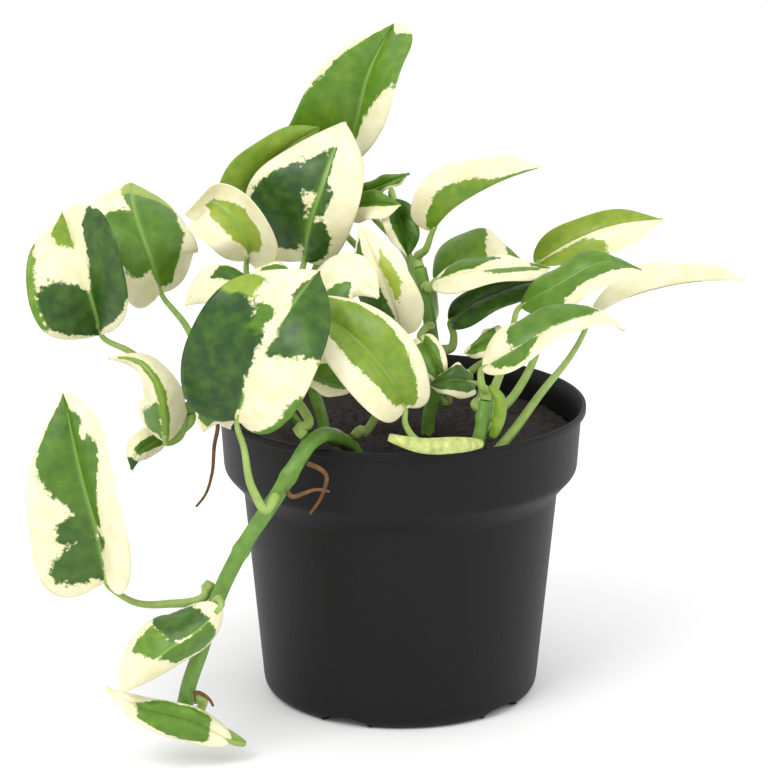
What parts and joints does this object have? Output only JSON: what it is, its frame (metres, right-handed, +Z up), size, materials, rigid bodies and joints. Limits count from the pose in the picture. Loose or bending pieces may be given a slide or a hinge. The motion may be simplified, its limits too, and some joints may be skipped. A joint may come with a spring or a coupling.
{
  "type": "potted plant",
  "caption": "Trailing vine with variegated green and cream leaves, growing in a plain black round nursery pot.",
  "frame": {"origin": "centre of the pot's foot, on the face it stands on", "axes": "+Z up the pot's axis, +Y away from the usual viewpoint, +X to the viewer's right"},
  "size_m": [0.2285, 0.1464, 0.2145],
  "materials": {
    "pot": "satin black",
    "soil": "damp crumbly potting mix",
    "trailing_vine": "fresh green stem",
    "left_stem": "fresh green stem",
    "centre_stem": "fresh green stem",
    "right_stem": "fresh green stem",
    "front_stem": "fresh green stem",
    "root_left": "dry brown root",
    "root_vine_upper": "dry brown root",
    "root_vine_rim": "dry brown root",
    "root_vine_end": "dry brown root",
    "leaf_vine_left": "waxy leaf, green and cream",
    "leaf_left_low": "waxy leaf, green and cream",
    "leaf_left_high": "waxy leaf, green and cream",
    "leaf_left_hanging": "waxy leaf, green and cream",
    "leaf_left_curled": "waxy leaf, green and cream",
    "leaf_top": "waxy leaf, green and cream",
    "leaf_back_left": "waxy leaf, green and cream",
    "leaf_centre_cream": "waxy leaf, green and cream",
    "leaf_cupped": "waxy leaf, green and cream",
    "leaf_front_left": "waxy leaf, green and cream",
    "leaf_front_centre": "waxy leaf, green and cream",
    "leaf_speckled": "waxy leaf, green and cream",
    "leaf_right_high": "waxy leaf, green and cream",
    "leaf_centre_dark": "waxy leaf, green and cream",
    "leaf_centre_small": "waxy leaf, green and cream",
    "leaf_centre_narrow": "waxy leaf, green and cream",
    "leaf_right_domed": "waxy leaf, green and cream",
    "leaf_right_flat": "waxy leaf, green and cream",
    "leaf_right_dark": "waxy leaf, green and cream",
    "leaf_right_outer": "waxy leaf, green and cream",
    "leaf_right_green": "waxy leaf, green and cream",
    "leaf_right_long": "waxy leaf, green and cream",
    "leaf_front_right": "waxy leaf, green and cream",
    "leaf_rim_small": "waxy leaf, green and cream",
    "leaf_white_arch": "waxy leaf, green and cream",
    "leaf_left_back": "waxy leaf, green and cream",
    "leaf_mottled": "waxy leaf, green and cream",
    "leaf_crumpled": "waxy leaf, green and cream",
    "leaf_under_centre": "waxy leaf, green and cream",
    "leaf_behind_front": "waxy leaf, green and cream",
    "leaf_pale_small": "waxy leaf, green and cream",
    "leaf_vine_folded": "waxy leaf, green and cream",
    "leaf_vine_tip": "waxy leaf, green and cream",
    "sheath_front": "dry papery sheath",
    "new_leaf_rolled": "waxy leaf, green and cream"
  },
  "bodies": {
    "root": {"pot": "pot", "soil": "soil", "trailing_vine": "trailing_vine", "left_stem": "left_stem", "centre_stem": "centre_stem", "right_stem": "right_stem", "front_stem": "front_stem", "root_left": "root_left", "root_vine_upper": "root_vine_upper", "root_vine_rim": "root_vine_rim", "root_vine_end": "root_vine_end", "leaf_vine_left": "leaf_vine_left", "leaf_left_low": "leaf_left_low", "leaf_left_high": "leaf_left_high", "leaf_left_hanging": "leaf_left_hanging", "leaf_left_curled": "leaf_left_curled", "leaf_top": "leaf_top", "leaf_back_left": "leaf_back_left", "leaf_centre_cream": "leaf_centre_cream", "leaf_cupped": "leaf_cupped", "leaf_front_left": "leaf_front_left", "leaf_front_centre": "leaf_front_centre", "leaf_speckled": "leaf_speckled", "leaf_right_high": "leaf_right_high", "leaf_centre_dark": "leaf_centre_dark", "leaf_centre_small": "leaf_centre_small", "leaf_centre_narrow": "leaf_centre_narrow", "leaf_right_domed": "leaf_right_domed", "leaf_right_flat": "leaf_right_flat", "leaf_right_dark": "leaf_right_dark", "leaf_right_outer": "leaf_right_outer", "leaf_right_green": "leaf_right_green", "leaf_right_long": "leaf_right_long", "leaf_front_right": "leaf_front_right", "leaf_rim_small": "leaf_rim_small", "leaf_white_arch": "leaf_white_arch", "leaf_left_back": "leaf_left_back", "leaf_mottled": "leaf_mottled", "leaf_crumpled": "leaf_crumpled", "leaf_under_centre": "leaf_under_centre", "leaf_behind_front": "leaf_behind_front", "leaf_pale_small": "leaf_pale_small", "leaf_vine_folded": "leaf_vine_folded", "leaf_vine_tip": "leaf_vine_tip", "sheath_front": "sheath_front", "new_leaf_rolled": "new_leaf_rolled"}
  },
  "joints": []
}
